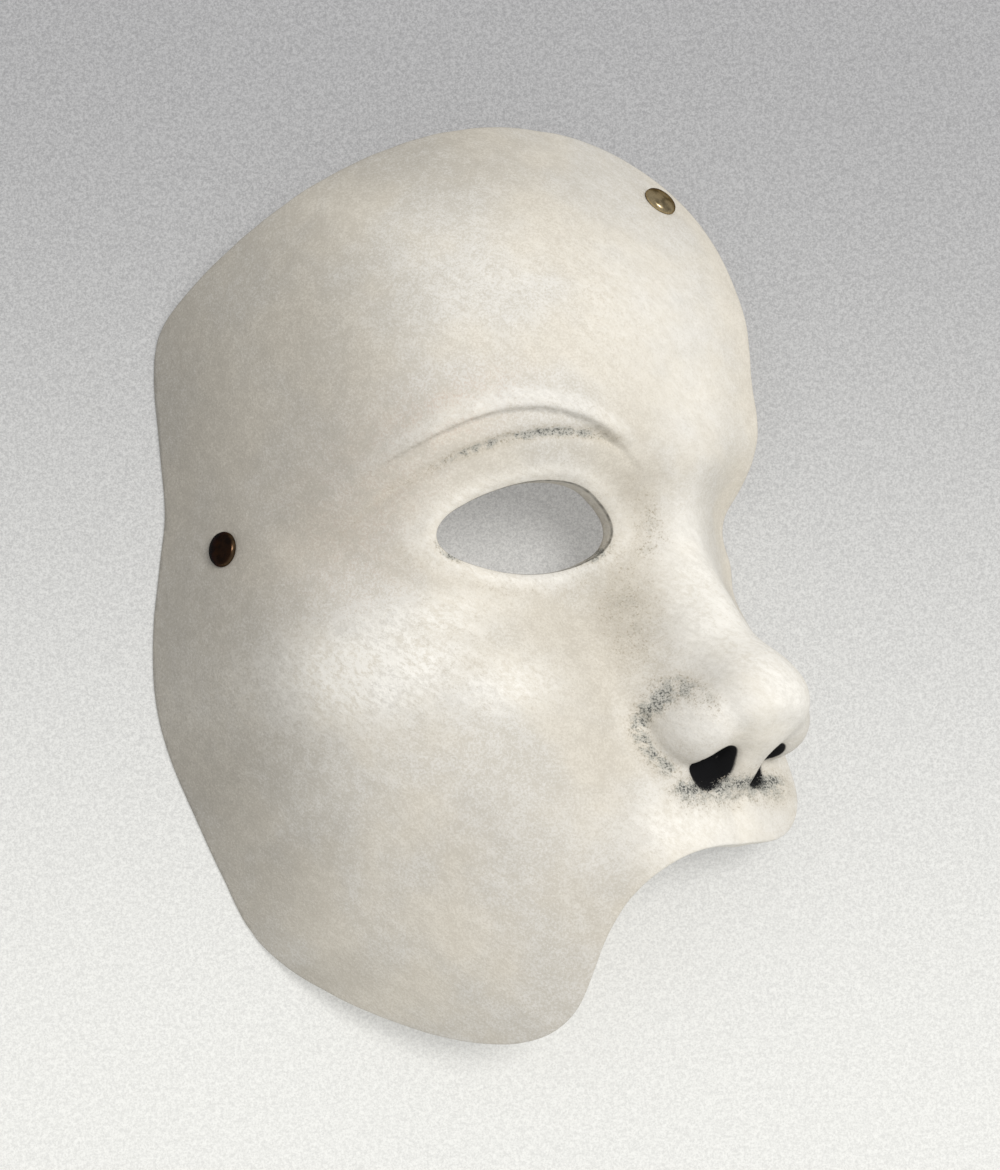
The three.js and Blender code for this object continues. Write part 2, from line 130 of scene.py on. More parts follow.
# Round the eye opening, by distance from it: a bead, a crease over the lid and a fold below
BEAD_AT = 1.4
BEAD_WIDTH = 1.1
BEAD_RISE = 0.45
CREASE_AT = 9.4
CREASE_WIDTH = 1.2
CREASE_DEPTH = 0.9
FOLD_AT = 8.0
FOLD_WIDTH = 2.2
FOLD_DEPTH = 0.5

# Broad rises and hollows: centre, radii, turn in degrees, rise
SIDE_FORMS = (
    ("inner eye corner", 15.5, 2, 7, 9, 0, -2.2),
    ("brow bone", 27, 19, 20, 8, 8, 2.4),
    ("cheekbone", 53, -23, 20, 14, -20, 4.2),
    ("front of cheek", 33, -33, 14, 11, 0, 2.4),
    ("fold under the eye", 22, -15, 9, 4.5, -35, -1.6),
    ("hollow of cheek", 54, -62, 17, 20, 15, -2.6),
    ("fold beside the mouth", 27, -52, 4.5, 14, 18, -1.6),
    ("forehead", 24, 44, 18, 14, 0, 1.2),
)
MIDDLE_FORMS = (
    ("groove of the upper lip", 0, -58, 3, 6.5, 0, -1),
    ("upper lip", 0, -70.5, 22, 4.6, 0, 2),
    ("between the brows", 0, 12, 9, 8, 0, 1),
)

# Ridge of the nose by height: height, depth, radius across
RIDGE = (
    (-60, 34, 9),
    (-37, 22.5, 8.5),
    (-30, 18.5, 7.5),
    (-17, 9.5, 6),
    (-6, 3, 5.5),
    (3, -0.5, 6.5),
    (14, 1.5, 9),
    (26, 2, 12),
)
RIDGE_SLOPE = 1.45
RIDGE_FULLNESS = 1.25
RIDGE_BOTTOM = -39.0
RIDGE_TOP = 16.0
RIDGE_HALF_WIDTH = 26.0

# Round forms of the nose, mirrored about the midline: centre and radii
NOSE_TIP = ((0, -37, 13.8), (10.2, 9.3, 10.2))
TIP_CORNER = ((4.6, -38, 14.5), (6.6, 7.6, 8.2))
NOSE_CORE = ((0, -40, 3), (11, 8.5, 12))
NOSE_WING = ((11, -41.8, 6), (6.6, 7.6, 11.2))
NOSTRIL_PIT = ((6.9, -50, 8.5), (3.2, 4.6, 6.2))
NOSTRIL_HOLE = ((6.9, -49, 8.5), (2.5, 4.6, 5))
NOSTRIL_TOP = -44.0
COLUMN_FROM = (0.0, -44.0, 15.5)
COLUMN_TO = (0.0, -51.5, 6.0)
COLUMN_RADII = (3.6, 4.6)

# Outline of the mask: planes that slope back with the depth, joined by fillets
HAIRLINE_Y = 90.0
HAIRLINE_Z = -24.0
HAIRLINE_SLOPE = 0.62
JAW_Y = -112.0
JAW_Z = -30.0
JAW_SLOPE = 0.72
MOUTH_X = -29.0
MOUTH_Y = -66.0
MOUTH_FILLET = 26.0
TOP_FILLET = 44.0
JAW_FILLET = 34.0
LIP_FILLET = 12.0

# Hand-made unevenness of the moulded sheet: length of the waves, turn, phase, height
WAVES = (
    (37, 11, 0.6, 0.10),
    (19, 3, 2.1, 0.07),
    (11, 17, 4.0, 0.05),
    (7.3, 5, 1.3, 0.03),
)

# Rivets: point near the skin in the face frame, sizes of the cap, shank and flange, and wear, with
# painted sheen on the forehead rivet
TEMPLE_RIVET = (-75.0, 4.0, -62.0)
FOREHEAD_RIVET = (8.0, 71.0, -7.0)
CAP_RADIUS = 3.7
CAP_HEIGHT = 1.5
CAP_LIP = 0.35
DOME_STEPS = 14
DOME_POWER = 0.9
SHANK_RADIUS = 1.4
HOLE_RADIUS = 1.8
FLANGE_RADIUS = 3.2
FLANGE_HEIGHT = 0.9
RIVET_GAP = 0.35
CAP_SEAT = 0.02
RIM_ROUND = 0.3
RIM_BEVEL = 0.06
RIVET_SIDES = 64
EDGE_WEAR = 0.4
EDGE_WEAR_WIDTH = 0.5
FOREHEAD_RIVET_SHEEN = 1.0

# Patina: how much of the blue-black wash is left in each recess, how far from the wing's form
# its groove lies, and over how many millimetres round the nostrils the inside is painted black as
# painted shade
PATINA_CREASE = 0.76
PATINA_EYE_CORNER = 0.42
PATINA_LOWER_LID = 0.26
PATINA_EYE_ENDS = 0.8
PATINA_WING = 0.74
PATINA_BESIDE_NOSE = 0.43
PATINA_UNDER_NOSE = 0.97
WING_GROOVE = 1.4
NOSTRIL_SHADE_REACH = (8.0, 20.0)

# Where the white lies thickest, with a painted highlight on it: centre, radii, turn in degrees,
# amount
WHITE_AND_HIGHLIGHT_SPOTS = (
    ("cheekbone", 64, -25.5, 12, 9, -12, 1.5),
    ("over the cheekbone", 57, -17, 14, 5, -10, 0.85),
    ("front of cheek", 44, -31, 11, 6, 0, 0.8),
    ("forehead", 38, 50, 20, 13, -15, 0.24),
    ("middle of the forehead", 8, 44, 20, 18, 0, 0.5),
    ("between the brows", 0, 26, 10, 13, 0, 0.6),
    ("nose ridge", 2, -22, 8, 20, 0, 1.75),
    ("nose tip", -1, -35, 10, 9, 0, 1.35),
    ("nose wing", 13, -40, 7, 6, 0, 0.95),
    ("lip", 10, -61, 18, 8, 0, 1.05),
)
BRIGHT_BEAD = 0.6
BRIGHT_BROW = 0.6

# Recesses with painted shade, greyer and darker: centre, radii, turn in degrees, amount
PAINTED_SHADE_SPOTS = (
    ("beside the nose", 16, -15, 9, 16, 0, 0.6),
    ("eye socket", 13, 4, 7, 10, 0, 0.45),
    ("upper lid", 34, 14, 26, 6, 0, 0.25),
    ("hollow of cheek", 50, -63, 15, 13, 0, 0.12),
)

# Faint warm tinge, and stronger grain: centre, radii, turn in degrees, amount
BLUSH_SPOTS = (
    ("temple", 60, 8, 9, 22, 10, 0.6),
    ("brow end", 50, 24, 12, 6, -30, 1.0),
)
GRAIN_SPOTS = (
    ("forehead", 38, 48, 24, 18, 0, 0.6),
    ("cheek", 54, -24, 20, 14, -12, 0.3),
)

# Floor: its glow, and where it is brightest and greyest, in metres up the slanted picture
FLOOR_SIDE = 4.0
FLOOR_SLANT = 0.12
FLOOR_BRIGHT_AT = -0.131
FLOOR_GREY_AT = 0.128
FLOOR_GLOW = 0.5

# Light: a pale sky and one round soft lamp
SKY_COLOUR = (0.98, 0.985, 1.0)
SKY_STRENGTH = 0.45
LAMP_COLOUR = (1, 0.985, 0.96)
LAMP_DIRECTION = (0.36, 0.1, 1.0)
LAMP_DISTANCE = 2.4
LAMP_SIZE = 0.95
LAMP_POWER = 38.4

# Camera: its direction in the face frame, as degrees to the covered side and up, and its roll
CAMERA_YAW = 40.0
CAMERA_PITCH = -6.0
CAMERA_ROLL = -5.0
CAMERA_AIM = (0.0072, -0.0023, 0.018)
CAMERA_DISTANCE = 0.57
CAMERA_LENS = 85.0

TURN = np.array(
    [
        [math.cos(LIE_ANGLE), 0, -math.sin(LIE_ANGLE)],
        [0, 1, 0],
        [math.sin(LIE_ANGLE), 0, math.cos(LIE_ANGLE)],
    ]
)
OUT_OF_FACE = np.array([0, 0, 1]) @ TURN
REST_POINT = np.array([FAR_EDGE, 0, REST_DEPTH])
ORIGIN = np.array([BOX_MIDDLE[0], BOX_MIDDLE[1], 0])


# Smooth steps, minima and maxima


def smooth_min(a, b, width):
    near = np.maximum(width - np.abs(a - b), 0) / width
    return np.minimum(a, b) - near * near * width / 4


def smooth_max(a, b, width):
    return -smooth_min(-a, -b, width)


def ease(t):
    s = np.clip(t, 0, 1)
    return s * s * (3 - 2 * s)


def rising(value, start, length):
    """Rises smoothly from 0 at the start to 1 a length further on."""
    return ease((value - start) / length)


def falling(value, end, length):
    """Falls smoothly from 1 to 0, which it reaches at the end."""
    return ease((end - value) / length)


def hump(value, at, width):
    """1 at one value, fading smoothly on both sides of it."""
    return np.exp(-(((value - at) / width) ** 2))


def curve_through(rows, column, t):
    """A smooth curve through one column of the rows, by the rows' first value."""
    table = np.array(rows, float)
    at = table[:, 0]
    value = table[:, column]
    slope = np.gradient(value, at)
    slope[1:-1] = (value[2:] - value[:-2]) / (at[2:] - at[:-2])
    i = np.clip(np.searchsorted(at, t) - 1, 0, len(at) - 2)
    width = at[i + 1] - at[i]
    s = np.clip((t - at[i]) / width, 0, 1)
    start = (2 * s**3 - 3 * s**2 + 1) * value[i] + (s**3 - 2 * s**2 + s) * width * slope[i]
    end = (3 * s**2 - 2 * s**3) * value[i + 1] + (s**3 - s**2) * width * slope[i + 1]
    return start + end


def to_face(points):
    return points @ TURN.T + REST_POINT


def to_table(points):
    return (points - REST_POINT) @ TURN


# The face as a field: negative inside the head, positive outside


def bump(x, y, form):
    _, at_x, at_y, size_x, size_y, turn, rise = form
    cos = math.cos(math.radians(turn))
    sin = math.sin(math.radians(turn))
    u = ((x - at_x) * cos + (y - at_y) * sin) / size_x
    v = ((y - at_y) * cos - (x - at_x) * sin) / size_y
    return rise * np.exp(-(u * u + v * v))


def eye_distance(x, y):
    """Millimetres outside the eye opening in front view, at x from the midline."""

    def inside_arc(height, sign):
        radius = (EYE_HALF**2 + height**2) / (2 * height)
        return radius - np.hypot(x - EYE_X, y - EYE_Y - sign * (height - radius))

    return -smooth_min(inside_arc(EYE_UPPER, 1), inside_arc(EYE_LOWER, -1), EYE_CORNER)


def brow_height(x):
    """Height of the brow's lower edge, at x from the midline."""
    along = (x - BROW_START) / BROW_LENGTH
    arch = BROW_ARCH * np.sin(np.pi * BROW_BEND * np.clip(along, -0.2, 1.15))
    return BROW_HEIGHT + arch - BROW_DROOP * np.maximum(along, 0) ** 3


def side_rise(x, y):
    orbit = ((x - ORBIT_X) / ORBIT_SIZE[0]) ** 2 + ((y - ORBIT_Y) / ORBIT_SIZE[1]) ** 2
    rise = -ORBIT_DEPTH * np.exp(-(orbit**ORBIT_POWER))
    rise = rise + LID_RISE * hump(np.maximum(eye_distance(x, y), 0), 0, LID_WIDTH)
    for form in SIDE_FORMS:
        rise = rise + bump(x, y, form)
    return rise


def brow_ends(x):
    """1 along the brow, fading out at both of its ends."""
    return rising(x, 9, 12) * (1 - rising(x, 50, 18))


def fine_rise(x, y):
    """The brow's ledge, the bead round the eye opening and the creases beyond it."""
    above = y - brow_height(x)
    fade = np.exp(-((np.maximum(above, 0) / BROW_FADE) ** 1.6))
    ledge = BROW_RISE * ease(above / BROW_EDGE + 0.5) * fade
    rise = brow_ends(x) * ledge
    away = eye_distance(x, y)
    rise = rise + BEAD_RISE * hump(away, BEAD_AT, BEAD_WIDTH)
    upper = rising(y, -4, 8)
    reach = rising(x, 12, 6) * (1 - rising(x, 56, 6))
    rise = rise - CREASE_DEPTH * hump(away, CREASE_AT, CREASE_WIDTH) * upper * reach
    return rise - FOLD_DEPTH * hump(away, FOLD_AT, FOLD_WIDTH) * (1 - upper)


def head_field(p, fine):
    x, y, z = p.T
    depth = curve_through(SECTIONS, 1, y)
    half_width = curve_through(SECTIONS, 2, y)
    run = np.maximum((z - BACK_OF_HEAD) / (depth - BACK_OF_HEAD), 0)
    ring = (np.abs(x / half_width) ** SQUARENESS + run**SQUARENESS) ** (1 / SQUARENESS)
    rise = side_rise(x, y) + side_rise(-x, y)
    for form in MIDDLE_FORMS:
        rise = rise + bump(x, y, form)
    if fine:
        rise = rise + fine_rise(-x, y)
    return (ring - 1) * HEAD_SCALE - rise


def ellipsoid_field(p, form):
    at, size = np.array(form, float)
    offset = p - at
    near = np.linalg.norm(offset / size, axis=-1)
    steep = np.linalg.norm(offset / size**2, axis=-1)
    return near * (near - 1) / np.maximum(steep, TINY)


def mirrored(p):
    """Points with the far half of the face laid over the near half."""
    return np.stack([np.abs(p[:, 0]), p[:, 1], p[:, 2]], 1)


def column_field(p):
    """The column under the tip of the nose, wider towards the lip."""
    start = np.array(COLUMN_FROM)
    axis = np.array(COLUMN_TO) - start
    t = np.clip((p - start) @ axis / (axis @ axis), 0, 1)
    radius = COLUMN_RADII[0] + (COLUMN_RADII[1] - COLUMN_RADII[0]) * t
    return np.linalg.norm(p - start - t[:, None] * axis, axis=-1) - radius


def nose_field(p):
    x, y, z = p.T
    q = mirrored(p)
    crest = curve_through(RIDGE, 1, y)
    radius = curve_through(RIDGE, 2, y)
    fall = RIDGE_SLOPE * (np.hypot(x, radius) - radius)
    ridge = (z - crest + fall) / math.hypot(1, RIDGE_SLOPE) * RIDGE_FULLNESS
    ridge = smooth_max(ridge, RIDGE_BOTTOM - y, 6)
    ridge = smooth_max(ridge, y - RIDGE_TOP, 10)
    ridge = smooth_max(ridge, q[:, 0] - RIDGE_HALF_WIDTH, 8)
    tip = smooth_min(ellipsoid_field(q, NOSE_TIP), ellipsoid_field(q, TIP_CORNER), 3)
    front = smooth_min(smooth_min(ridge, tip, 6), column_field(q), 4)
    middle = np.minimum(front, ellipsoid_field(q, NOSE_CORE))
    return smooth_min(middle, ellipsoid_field(q, NOSE_WING), 3.6)


def nostril_pit(p):
    return ellipsoid_field(mirrored(p), NOSTRIL_PIT)


def nostril_hole(p):
    return ellipsoid_field(mirrored(p), NOSTRIL_HOLE)


def face_field(p, fine=True):
    blend = 2.6 + 8 * rising(p[:, 1], -38, 16)
    field = smooth_min(head_field(p, fine), nose_field(p), blend)
    if fine:
        field = smooth_max(field, -nostril_pit(p), 1.8)
    return field


def skin_field(points):
    return face_field(to_face(points))


def soft_field(points):
    """The skin without its fine relief and nostrils."""
    return face_field(to_face(points), False)


# Points on a field's surface


def gradient(field, points, step=0.05):
    slopes = []
    for axis in range(3):
        shift = np.zeros(3)
        shift[axis] = step
        slopes.append((field(points + shift) - field(points - shift)) / (2 * step))
    return np.stack(slopes, 1)


def normalised(vectors):
    return vectors / np.maximum(np.linalg.norm(vectors, axis=1, keepdims=True), TINY)


def settle(field, points, steps=3):
    for _ in range(steps):
        slope = gradient(field, points)
        move = -field(points) / np.maximum((slope**2).sum(1), TINY)
        points = points + np.clip(move, -1.5, 1.5)[:, None] * slope
    return points


def seat(face_point):
    """A rivet's point on the skin and its axis, in the table frame."""
    point = settle(soft_field, to_table(np.array([face_point])), 8)
    return point[0], normalised(gradient(soft_field, point))[0]


SEATS = {"temple_rivet": seat(TEMPLE_RIVET), "forehead_rivet": seat(FOREHEAD_RIVET)}


def outline_field(points):
    """Positive where the shell is cut away. The rounded edge fills the last EDGE_ROUND."""
    p = to_face(points)
    x, y, z = p.T
    top = (y - HAIRLINE_Y - HAIRLINE_SLOPE * (z - HAIRLINE_Z)) / math.hypot(1, HAIRLINE_SLOPE)
    jaw = (JAW_Y - y - JAW_SLOPE * (z - JAW_Z)) / math.hypot(1, JAW_SLOPE)
    mouth = smooth_min(x - MOUTH_X, MOUTH_Y - y, MOUTH_FILLET)
    upper = smooth_max(x - FAR_EDGE, top, TOP_FILLET)
    edge = smooth_max(upper, smooth_max(jaw, mouth, JAW_FILLET), LIP_FILLET)
    edge = smooth_max(edge, -points[:, 2], CORNER_ROUND)
    field = np.maximum(edge, -eye_distance(-x, y))
    nostril = -nostril_hole(p) - EDGE_ROUND / 2
    field = np.maximum(field, np.where(y < NOSTRIL_TOP, nostril, -5))
    for point, axis in SEATS.values():
        offset = points - point
        across = np.linalg.norm(offset - (offset @ axis)[:, None] * axis, axis=1)
        field = np.maximum(field, HOLE_RADIUS - across)
    return field + EDGE_ROUND


# A net of triangles over the skin, cut along the outline


def grid_lines(low, high, fine):
    lines = [low]
    while lines[-1] < high:
        away = min(max(fine[0] - lines[-1], lines[-1] - fine[1], 0) / STEP_BLEND, 1)
        lines.append(lines[-1] + FINE_STEP + (BROAD_STEP - FINE_STEP) * away)
    return np.array(lines)


def cell_points(grid, values):
    """The mean of the surface's crossings with each cell's edges, and which cells have any."""
    inside = values < 0
    size = np.array(values.shape)
    total = np.zeros((*(size - 1), 3))
    count = np.zeros(size - 1)
    for axis in range(3):
        first = tuple(slice(0, n - (a == axis)) for a, n in enumerate(size))
        second = tuple(slice(int(a == axis), n) for a, n in enumerate(size))
        crossed = inside[first] != inside[second]
        drop = np.where(crossed, values[first] - values[second], 1)
        t = np.where(crossed, values[first] / drop, 0)[..., None]
        place = (grid[first] + (grid[second] - grid[first]) * t) * crossed[..., None]
        u, v = [a for a in range(3) if a != axis]
        for du in (0, 1):
            for dv in (0, 1):
                window = [slice(0, n - 1) for n in size]
                window[u] = slice(du, du + size[u] - 1)
                window[v] = slice(dv, dv + size[v] - 1)
                total += place[tuple(window)]
                count += crossed[tuple(window)]
    used = count > 0
    return total[used] / count[used][:, None], used


def cell_quads(inside, number):
    """A quad for each grid line that the surface crosses, facing out of the head."""
    size = np.array(inside.shape)
    quads = []
    for axis in range(3):
        u, v = (axis + 1) % 3, (axis + 2) % 3
        low = [slice(1, n - 1) for n in size]
        high = list(low)
        low[axis] = slice(0, size[axis] - 1)
        high[axis] = slice(1, size[axis])
        start = inside[tuple(low)]
        where = np.argwhere(start != inside[tuple(high)])
        outward = start[tuple(where.T)]
        where[:, u] += 1
        where[:, v] += 1
        ring = []
        for du, dv in ((-1, -1), (0, -1), (0, 0), (-1, 0)):
            cell = where.copy()
            cell[:, u] += du
            cell[:, v] += dv
            ring.append(number[tuple(cell.T)])
        quad = np.stack(ring, 1)
        quad[~outward] = quad[~outward][:, ::-1]
        quads.append(quad)
    return np.vstack(quads)


def net_over(field, lines):
    """One point in each grid cell that the surface crosses, and quads between them."""
    grid = np.stack(np.meshgrid(*lines, indexing="ij"), -1)
    values = field(grid.reshape(-1, 3)).reshape(grid.shape[:3])
    points, used = cell_points(grid, values)
    number = -np.ones(used.shape, int)
    number[used] = np.arange(used.sum())
    return points, cell_quads(values < 0, number)


def split_quads(quads, points):
    """Two triangles from each quad, along its shorter diagonal."""
    first = np.linalg.norm(points[quads[:, 0]] - points[quads[:, 2]], axis=1)
    second = np.linalg.norm(points[quads[:, 1]] - points[quads[:, 3]], axis=1)
    a = quads[first < second]
    b = quads[first >= second]
    return np.vstack([a[:, [0, 1, 2]], a[:, [0, 2, 3]], b[:, [0, 1, 3]], b[:, [1, 2, 3]]])


def edges_of(triangles):
    return np.vstack([triangles[:, [0, 1]], triangles[:, [1, 2]], triangles[:, [2, 0]]])


def compact(points, triangles):
    """The triangles with only the points that they use."""
    used = np.unique(triangles)
    number = -np.ones(len(points), int)
    number[used] = np.arange(len(used))
    return points[used], number[triangles]


def relax(points, triangles, rounds):
    """Evens out the net, then puts each point back on the skin."""
    edges = edges_of(triangles)
    count = len(points)
    around = np.bincount(edges.ravel(), minlength=count)[:, None]
    for _ in range(rounds):
        total = np.zeros_like(points)
        for axis in range(3):
            total[:, axis] += np.bincount(edges[:, 0], points[edges[:, 1], axis], count)
            total[:, axis] += np.bincount(edges[:, 1], points[edges[:, 0], axis], count)
        points = settle(skin_field, points + RELAX_SHARE * (total / around - points), 1)
    return settle(skin_field, points, 2)


def to_outline(points):
    """Moves points along the skin onto the outline."""
    for _ in range(SNAP_STEPS):
        normal = normalised(gradient(skin_field, points))
        slope = gradient(outline_field, points)
        slope = slope - (slope * normal).sum(1, keepdims=True) * normal
        move = -outline_field(points) / np.maximum((slope**2).sum(1), 1e-3)
        points = settle(skin_field, points + np.clip(move, -1, 1)[:, None] * slope, 1)
    return points


def cut_points(inner, outer):
    """The points of edges where the outline crosses them."""
    low = np.zeros(len(inner))
    high = np.ones(len(inner))
    for _ in range(CUT_STEPS):
        middle = (low + high) / 2
        over = outline_field(settle(skin_field, inner + (outer - inner) * middle[:, None], 1)) > 0
        high = np.where(over, middle, high)
        low = np.where(over, low, middle)
    return settle(skin_field, inner + (outer - inner) * ((low + high) / 2)[:, None], 2)


def snap_to_outline(points, triangles):
    """Moves the points close to the outline onto it, and tells on which side each point is."""
    edges = edges_of(triangles)
    length = np.linalg.norm(points[edges[:, 0]] - points[edges[:, 1]], axis=1)
    size = np.full(len(points), np.inf)
    np.minimum.at(size, edges.ravel(), np.repeat(length, 2))
    field = outline_field(points)
    side = np.sign(field).astype(int)
    near = np.flatnonzero(np.abs(field) < SNAP_FROM * size)
    moved = to_outline(points[near])
    reached = np.linalg.norm(moved - points[near], axis=1) < SNAP_LIMIT * size[near]
    reached &= np.abs(outline_field(moved)) < SNAP_ERROR
    points = points.copy()
    points[near[reached]] = moved[reached]
    side[near[reached]] = 0
    return points, side


def cut_triangle(triangle, side, number, points):
    """What the outline leaves of one triangle, as one or two triangles."""
    polygon = []
    for a, b in zip(triangle, triangle[1:] + triangle[:1]):
        if side[a] <= 0:
            polygon.append(a)
        if side[a] * side[b] < 0:
            polygon.append(number[tuple(sorted((a, b)))])
    if len(polygon) == 3:
        return [polygon]
    return split_quads(np.array([polygon]), points).tolist()


def trim_net(points, triangles):
    """Cuts the net along the outline, with the points close to it moved onto it first."""
    points, side = snap_to_outline(points, triangles)
    sides = side[triangles]
    centre = outline_field(points[triangles].mean(1))
    kept = (sides <= 0).all(1) & ((sides < 0).any(1) | (centre < 0))
    mixed = triangles[(sides < 0).any(1) & (sides > 0).any(1)]
    crossing = edges_of(mixed)
    crossing = crossing[side[crossing[:, 0]] * side[crossing[:, 1]] < 0]
    crossing = np.unique(np.sort(crossing, axis=1), axis=0)
    swap = side[crossing[:, 0]] > 0
    crossing[swap] = crossing[swap][:, ::-1]
    made = cut_points(points[crossing[:, 0]], points[crossing[:, 1]])
    number = {tuple(sorted(pair)): len(points) + i for i, pair in enumerate(crossing.tolist())}
    points = np.vstack([points, made])
    pieces = []
    for triangle in mixed.tolist():
        pieces += cut_triangle(triangle, side, number, points)
    return compact(points, np.vstack([triangles[kept], np.array(pieces)]))


def unevenness(points):
    """Hand-made unevenness of the moulded sheet, in millimetres."""
    x, y = points[:, 0], points[:, 1]
    total = np.zeros(len(points))
    for length, turn, phase, height in WAVES:
        k = 2 * math.pi / length
        across = np.sin(k * (x * math.cos(turn) + y * math.sin(turn)) + phase)
        up = np.sin(k * (y * math.cos(turn) - x * math.sin(turn)) + 2 * phase)
        total += height * across * up
    return total


def through_wall(points):
    """From the outer skin to the inner one: straight back at the eye, level near the table."""
    x, y, _ = places(points)
    from_eye = np.maximum(eye_distance(x, y), 0)
    straight = hump(from_eye, 0, EYE_WALL_REACH)[:, None]
    level = ease(points[:, 2] / FLAT_RIM_HEIGHT)
    for _ in range(WALL_STEPS):
        normal = normalised(gradient(soft_field, points))
        direction = normal + straight * (OUT_OF_FACE - normal)
        direction[:, 2] *= level
        direction = normalised(direction)
        slant = smooth_max((direction * normal).sum(1), 0.8, 0.2)
        points = points - direction * (THICKNESS / WALL_STEPS / slant)[:, None]
    return points


def edge_directions(points, rim):
    """At each rim point, the way out of the sheet, along it, and straight down at the table."""
    normal = normalised(gradient(soft_field, points))
    way = normalised(points[rim[:, 1]] - points[rim[:, 0]])
    out = np.zeros_like(points)
    for end in (0, 1):
        np.add.at(out, rim[:, end], np.cross(way, normal[rim[:, end]]))
    out = normalised(out)
    low = 1 - rising(points[:, 2], EDGE_ROUND + 0.1, 0.6)[:, None]
    down = np.array([0, 0, -1.0])
    return normalised(out * (1 - low) + down * low)


# Paint by place: the attributes that the materials read at each point


def places(points):
    """Each point's distance from the midline to the covered side, its height and its depth."""
    p = to_face(points)
    return -p[:, 0], p[:, 1], p[:, 2]


def strongest(x, y, spots):
    return np.maximum.reduce([bump(x, y, spot) for spot in spots])


def patina_round_eye(x, y):
    away = eye_distance(x, y)
    upper = rising(y, -2, 6)
    crease = hump(away, CREASE_AT, 1.3) * upper
    crease *= (0.35 + 0.65 * rising(x, 18, 12)) * rising(x, 14, 6)
    crease *= 1 - 0.6 * rising(x, 42, 14)
    corner = hump(away, 5, 3.5) * (1 - rising(x, 8, 12)) * (x > 2)
    lower_lid = hump(away, 4, 2.2) * (1 - upper)
    outer_end = bump(x, y, ("outer end", 51, -4, 5, 4, 0, 1))
    inner_end = bump(x, y, ("inner end", 17, -6, 5, 4, 0, 1))
    ends = (outer_end + inner_end) * hump(away, EDGE_ROUND, 0.6)
    return np.maximum.reduce(
        [
            PATINA_CREASE * crease,
            PATINA_EYE_CORNER * corner,
            PATINA_LOWER_LID * lower_lid,
            PATINA_EYE_ENDS * ends,
        ]
    )


def patina_round_nose(x, y, z):
    from_wing = ellipsoid_field(np.stack([x, y, z], 1), NOSE_WING)
    reach = np.where(from_wing < WING_GROOVE, 1.1, 3.4)
    wing = hump(from_wing, WING_GROOVE, reach) * rising(x, 9, 7) * rising(y, -60, 6)
    beside = hump(x + 0.22 * (y + 22), 17, 6.5) * hump(y, -18, 17)
    line = 1.15 * hump(y, -54, 1.9) * (1 - rising(np.abs(x), 11, 8))
    dust = 0.6 * hump(y, -55, 4.5) * (1 - rising(np.abs(x), 13, 10))
    under = np.maximum(line, dust) * rising(z, 1, 4)
    return np.maximum.reduce(
        [PATINA_WING * wing, PATINA_BESIDE_NOSE * beside, PATINA_UNDER_NOSE * under]
    )


def patina_by_place(points):
    """How much of the blue-black wash is left in each recess."""
    x, y, z = places(points)
    return np.maximum(patina_round_eye(x, y), patina_round_nose(x, y, z))


def pit_by_place(points):
    """Millimetres from the hollow of the nostril and its hole."""
    p = to_face(points)
    return np.clip(np.minimum(nostril_pit(p), nostril_hole(p) - EDGE_ROUND), -1, 30)


def eye_edge_by_place(points):
    """Millimetres from the eye opening."""
    x, y, _ = places(points)
    return np.clip(eye_distance(x, y), -1, 5)


def brow_line_by_place(points):
    """Millimetres from the lower edge of the brow, and more beyond the brow's ends."""
    x, y, _ = places(points)
    return np.clip(np.abs(y - brow_height(x) + 0.3), 0, 5) + 3 * (1 - brow_ends(x))


def white_and_highlight_by_place(points):
    """How thick the white lies, with a painted highlight on top: most on what stands out."""
    x, y, _ = places(points)
    bead = BRIGHT_BEAD * hump(eye_distance(x, y), BEAD_AT, 2.5)
    brow = BRIGHT_BROW * hump(y - brow_height(x), 2.4, 2.2) * brow_ends(x)
    return np.maximum.reduce([bead, brow, strongest(x, y, WHITE_AND_HIGHLIGHT_SPOTS)])


def painted_shade_by_place(points):
    """Painted shade, greyer and darker towards the rim at the side of the head and in the recesses.
    """
    x, y, _ = places(points)
    cheekbone = bump(x, y, ("cheekbone", 66, -24, 5.5, 11, 0, 0.6))
    side = rising(x, 61, 13) * (1 - cheekbone)
    temple = 0.78 * rising(x, 44, 24) * rising(y, -14, 22)
    low_side = 0.8 * rising(x, 57, 13) * falling(y, -38, 24)
    jaw = 0.7 * rising(x, 51, 12) * falling(y, -76, 12)
    top = 0.85 * rising(y, 56, 32) * rising(x, -2, 50)
    front = 0.22 * falling(x, 50, 22) * falling(y, -4, 16) * rising(x, 20, 6)
    recesses = strongest(x, y, PAINTED_SHADE_SPOTS)
    return np.clip(np.maximum.reduce([side, temple, low_side, jaw, top, front, recesses]), 0, 1)


def grain_by_place(points):
    """The grain shows most on the forehead and cheek, least on the nose, lip and brow."""
    x, y, _ = places(points)
    beside_nose = bump(x, y, ("beside the nose", 17, -15, 7, 15, 0, 0.6))
    front = 0.35 * falling(x, 24, 14)
    return 1 + strongest(x, y, GRAIN_SPOTS) + beside_nose - front


def blush_by_place(points):
    """A faint warm tinge by the outer end of the brow and at the temple."""
    x, y, _ = places(points)
    return strongest(x, y, BLUSH_SPOTS)


PAINT_BY_PLACE = {
    "patina": patina_by_place,
    "pit": pit_by_place,
    "eye_edge": eye_edge_by_place,
    "brow_line": brow_line_by_place,
    "white_and_highlight": white_and_highlight_by_place,
    "painted_shade": painted_shade_by_place,
    "blush": blush_by_place,
    "grain": grain_by_place,
}


# The pieces


def make_mesh(name, points, faces):
    mesh = bpy.data.meshes.new(name)
    mesh.from_pydata(((points - ORIGIN) * MM).tolist(), [], faces)
    mesh.polygons.foreach_set("use_smooth", np.ones(len(mesh.polygons), bool))
    mesh.update()
    piece = bpy.data.objects.new(name, mesh)
    bpy.context.scene.collection.objects.link(piece)
    return piece


